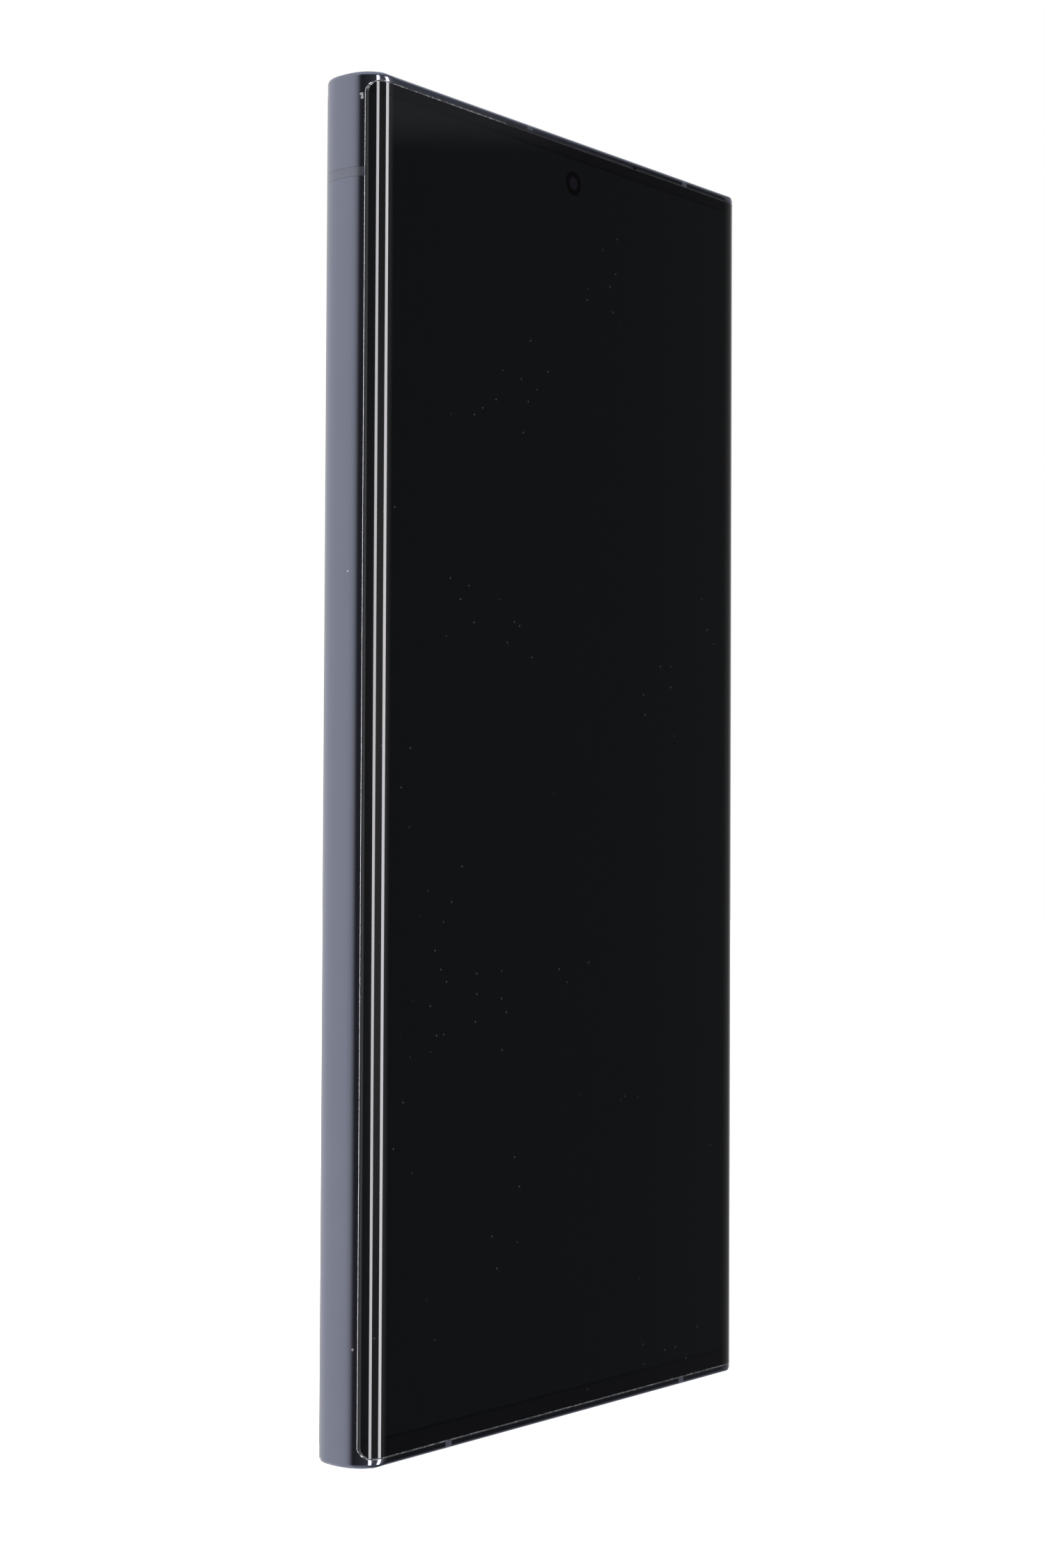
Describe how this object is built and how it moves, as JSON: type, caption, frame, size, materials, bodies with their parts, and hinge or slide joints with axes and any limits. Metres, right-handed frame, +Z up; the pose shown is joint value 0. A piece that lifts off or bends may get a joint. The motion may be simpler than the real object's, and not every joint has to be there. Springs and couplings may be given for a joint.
{
  "type": "smartphone",
  "caption": "Large slab smartphone with a curved-edge cover glass, metal frame, glass back with round camera rings, side keys, card tray and a stylus stored in its bottom edge.",
  "frame": {"origin": "middle of the bottom face of the phone's box, standing upright on its bottom edge", "axes": "+Z up along the phone's length, +Y out of the back (the screen faces -Y), +X to the right as the screen is seen, where the keys are"},
  "size_m": [0.0784, 0.0102, 0.1633],
  "materials": {
    "frame_metal": "polished dark blue-grey anodised aluminium",
    "cover_glass": "gloss, black behind",
    "back_glass": "satin etched, dark grey",
    "lens_glass": "gloss, coated",
    "display": "gloss black",
    "copper": "bare copper",
    "steel": "plain sheet steel",
    "circuit_board": "solder mask",
    "flex_circuit": "polyimide film",
    "battery_wrap": "aluminium laminate pouch, matte black wrap",
    "black_plastic": "fine moulded texture",
    "stylus_plastic": "soft matte",
    "rubber": "matte",
    "antenna_plastic": "satin, close to the frame's colour",
    "diffuser": "frosted"
  },
  "bodies": {
    "root": {"frame": "frame_metal", "camera_ring_ultra_wide": "frame_metal", "camera_ring_main": "frame_metal", "camera_ring_long_zoom": "frame_metal", "camera_ring_short_zoom": "frame_metal", "front_glass": "cover_glass", "rear_glass": "back_glass", "camera_window_ultra_wide": "lens_glass", "camera_window_main": "lens_glass", "camera_window_long_zoom": "lens_glass", "camera_window_short_zoom": "lens_glass", "autofocus_window": "lens_glass", "display_panel": "display", "fingerprint_sensor": "display", "stylus_digitiser": "copper", "heat_spreader": "copper", "charging_coil": "copper", "processor_shield": "steel", "radio_shield": "steel", "usb_shell": "steel", "sim_reader": "steel", "haptic_motor": "steel", "screw_upper_left": "steel", "screw_upper_corner": "steel", "screw_upper_middle": "steel", "screw_lower_left": "steel", "screw_lower_middle": "steel", "screw_lower_right": "steel", "main_board": "circuit_board", "lower_board": "circuit_board", "display_flex": "flex_circuit", "board_link_flex": "flex_circuit", "side_key_flex": "flex_circuit", "battery": "battery_wrap", "upper_cover": "black_plastic", "lower_cover": "black_plastic", "stylus_silo": "black_plastic", "usb_tongue": "black_plastic", "loudspeaker": "black_plastic", "earpiece_speaker": "black_plastic", "front_camera_module": "black_plastic", "camera_module_ultra_wide": "black_plastic", "camera_module_main": "black_plastic", "camera_module_long_zoom": "black_plastic", "camera_module_short_zoom": "black_plastic", "antenna_insert_left": "antenna_plastic", "antenna_insert_right": "antenna_plastic", "antenna_insert_top_left": "antenna_plastic", "antenna_insert_top_right": "antenna_plastic", "antenna_insert_bottom_left": "antenna_plastic", "antenna_insert_bottom_right": "antenna_plastic", "flash_window": "diffuser"},
    "power_key": {"power_key": "frame_metal"},
    "volume_key": {"volume_key": "frame_metal"},
    "card_tray": {"sim_tray": "frame_metal", "sim_tray_seal": "rubber"},
    "stylus": {"stylus_barrel": "stylus_plastic", "stylus_nib": "rubber"},
    "stylus_clicker": {"stylus_clicker": "stylus_plastic"},
    "stylus_button": {"stylus_button": "stylus_plastic"}
  },
  "joints": [
    {"name": "power_key_press", "type": "slide", "parent": "root", "child": "power_key", "axis": [-1, 0, 0], "range_m": [0, 0.00025], "stiffness_N_per_m": 3000},
    {"name": "volume_key_rock", "type": "hinge", "parent": "root", "child": "volume_key", "pos_m": [0.03873, -0.00065, 0.1165], "axis": [0, 1, 0], "range_deg": [-1.2, 1.2], "stiffness_Nm_per_rad": 1},
    {"name": "card_tray_slide", "type": "slide", "parent": "root", "child": "card_tray", "axis": [0, 0, -1], "range_m": [0, 0.02]},
    {"name": "stylus_slide", "type": "slide", "parent": "root", "child": "stylus", "axis": [0, 0, -1], "range_m": [0, 0.107]},
    {"name": "stylus_clicker_press", "type": "slide", "parent": "stylus", "child": "stylus_clicker", "axis": [0, 0, 1], "range_m": [0, 0.0014], "stiffness_N_per_m": 1500},
    {"name": "stylus_button_press", "type": "slide", "parent": "stylus", "child": "stylus_button", "axis": [0, -1, 0], "range_m": [0, 0.0002], "stiffness_N_per_m": 3000}
  ]
}
